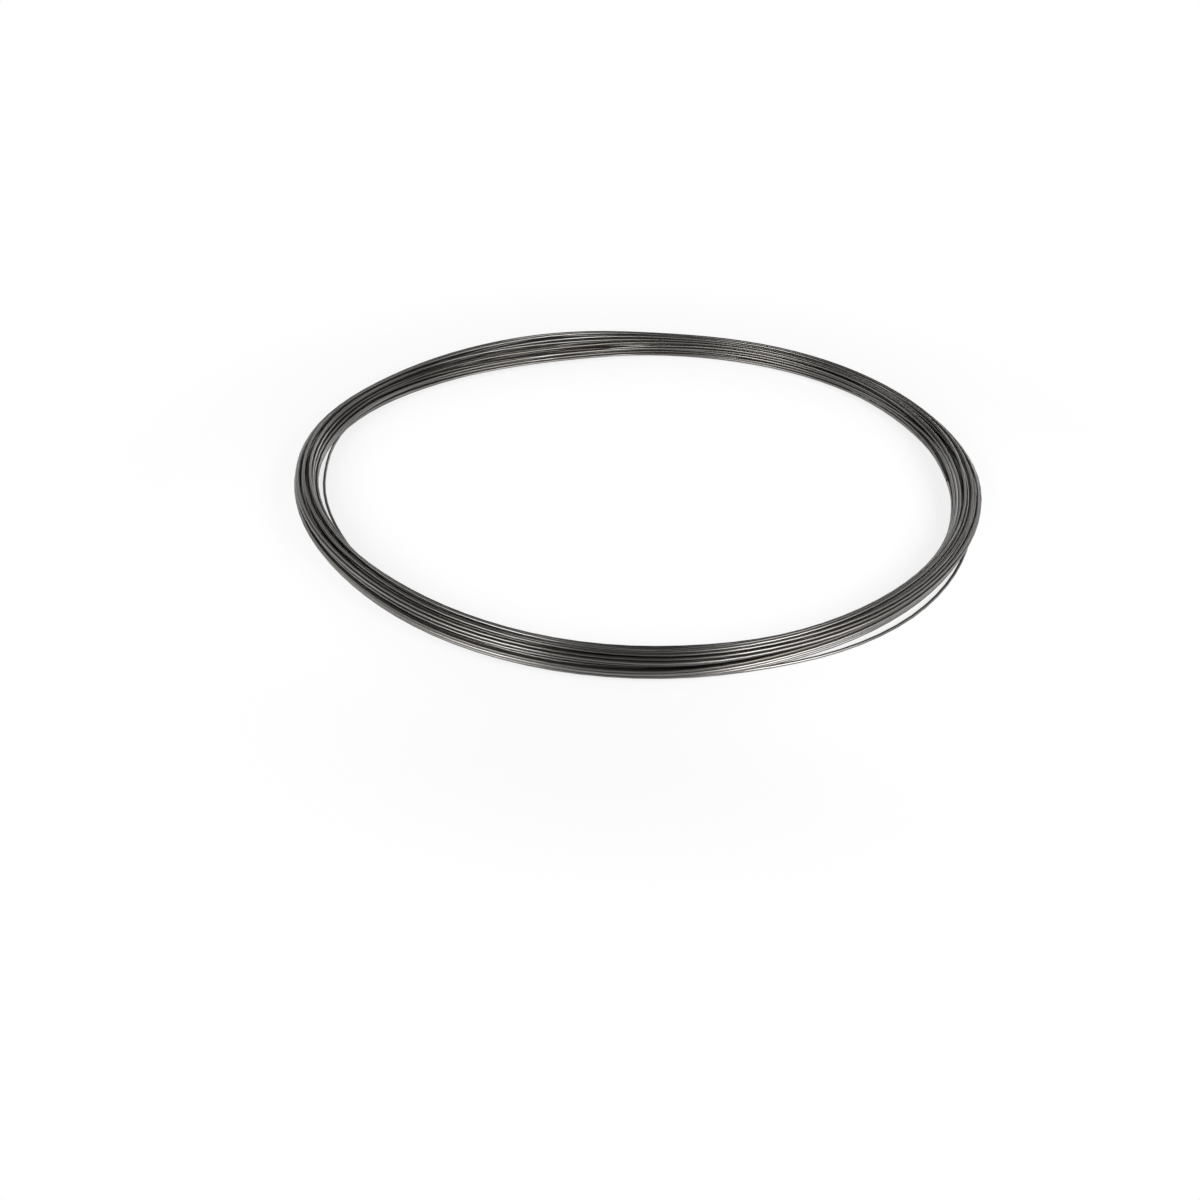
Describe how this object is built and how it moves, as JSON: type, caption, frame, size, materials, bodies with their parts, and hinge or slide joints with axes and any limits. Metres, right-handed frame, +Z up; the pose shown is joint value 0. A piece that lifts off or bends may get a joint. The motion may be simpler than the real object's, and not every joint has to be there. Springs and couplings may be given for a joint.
{
  "type": "coil of tungsten wire",
  "caption": "Round coil of bare drawn tungsten wire lying flat, its loose turns nested in a slim bundle round a wide open bore.",
  "frame": {"origin": "on the coil's axis, at the level floor that the coil lies on", "axes": "+Z up along the coil's axis; X and Y lie across the coil, and the picture is taken from the -Y side"},
  "size_m": [0.3797, 0.3796, 0.0141],
  "materials": {
    "tungsten_wire": "bare drawn tungsten, grey and slightly dull, with fine drawing lines along the wire"
  },
  "bodies": {
    "root": {"wire_coil": "tungsten_wire"}
  },
  "joints": []
}
